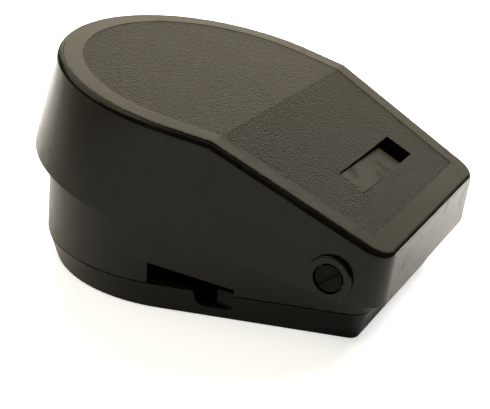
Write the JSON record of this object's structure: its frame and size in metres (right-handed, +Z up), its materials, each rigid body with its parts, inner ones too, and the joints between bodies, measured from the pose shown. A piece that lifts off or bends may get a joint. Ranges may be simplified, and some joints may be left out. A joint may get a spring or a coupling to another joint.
{
  "type": "snap mouse trap",
  "caption": "Covered snap mouse trap: a press-down hinged cover cocks a sprung wire bar over a treadle inside an enclosed rounded tray.",
  "frame": {"origin": "on the flat underside, below the centre of the round rear end", "axes": "+X towards the narrow hinged front, +Y across to the trap's left, +Z up"},
  "size_m": [0.117, 0.0978, 0.0625],
  "materials": {
    "tray_plastic": "smooth moulded",
    "shell_plastic": "smooth moulded",
    "cover_plastic": "glossy skirt and rim, fine leather grain on the roof panel",
    "pin_plastic": "smooth moulded",
    "lever_plastic": "natural nylon",
    "treadle_plastic": "red moulded",
    "cup_plastic": "smooth moulded",
    "flag_plastic": "smooth moulded",
    "bar_wire": "bright drawn wire",
    "axle_steel": "ground",
    "spring_steel": "tempered spring wire",
    "zinc_steel": "zinc plated",
    "screw_steel": "zinc plated"
  },
  "bodies": {
    "base": {"bottom_tray": "tray_plastic", "body_shell": "shell_plastic", "mechanism_frame": "zinc_steel", "strike_axle": "axle_steel", "axle_clips": "spring_steel", "treadle_pin": "axle_steel", "pivot_pin_left": "pin_plastic", "pivot_pin_right": "pin_plastic", "pivot_clips": "spring_steel", "tray_screws": "screw_steel", "frame_screws": "screw_steel", "torsion_spring_left": "spring_steel", "torsion_spring_right": "spring_steel"},
    "cover": {"cover": "cover_plastic", "indicator_pin": "axle_steel"},
    "striker": {"strike_bar": "bar_wire", "cocking_lever": "lever_plastic"},
    "treadle": {"treadle": "treadle_plastic"},
    "bait_cup": {"bait_cup": "cup_plastic"},
    "flag": {"indicator_flag": "flag_plastic"}
  },
  "joints": [
    {"name": "cover_press", "type": "hinge", "parent": "base", "child": "cover", "pos_m": [0.0576, 0, 0.0212], "axis": [0, -1, 0], "range_deg": [0, 10.37]},
    {"name": "strike_bar_swing", "type": "hinge", "parent": "base", "child": "striker", "pos_m": [0.01, 0, 0.014], "axis": [0, 1, 0], "range_deg": [0, 54], "stiffness_Nm_per_rad": 0.05, "springref_deg": -68.75, "deforming": ["torsion_spring_left", "torsion_spring_right"]},
    {"name": "flag_tilt", "type": "hinge", "parent": "cover", "child": "flag", "pos_m": [0.05068, -0.0191, 0.03358], "axis": [0.8989, 0, -0.4381], "range_deg": [0, 3.6]},
    {"name": "treadle_tilt", "type": "hinge", "parent": "base", "child": "treadle", "pos_m": [0.0035, 0, 0.0055], "axis": [0, 1, 0], "range_deg": [0, 8]},
    {"name": "bait_cup_pull", "type": "slide", "parent": "base", "child": "bait_cup", "axis": [0, 0, -1], "range_m": [0, 0.012]}
  ],
  "couplings": [
    {"joint": "strike_bar_swing", "follows": "cover_press", "ratio": 5.2073},
    {"joint": "flag_tilt", "follows": "cover_press", "ratio": 0.34715}
  ]
}
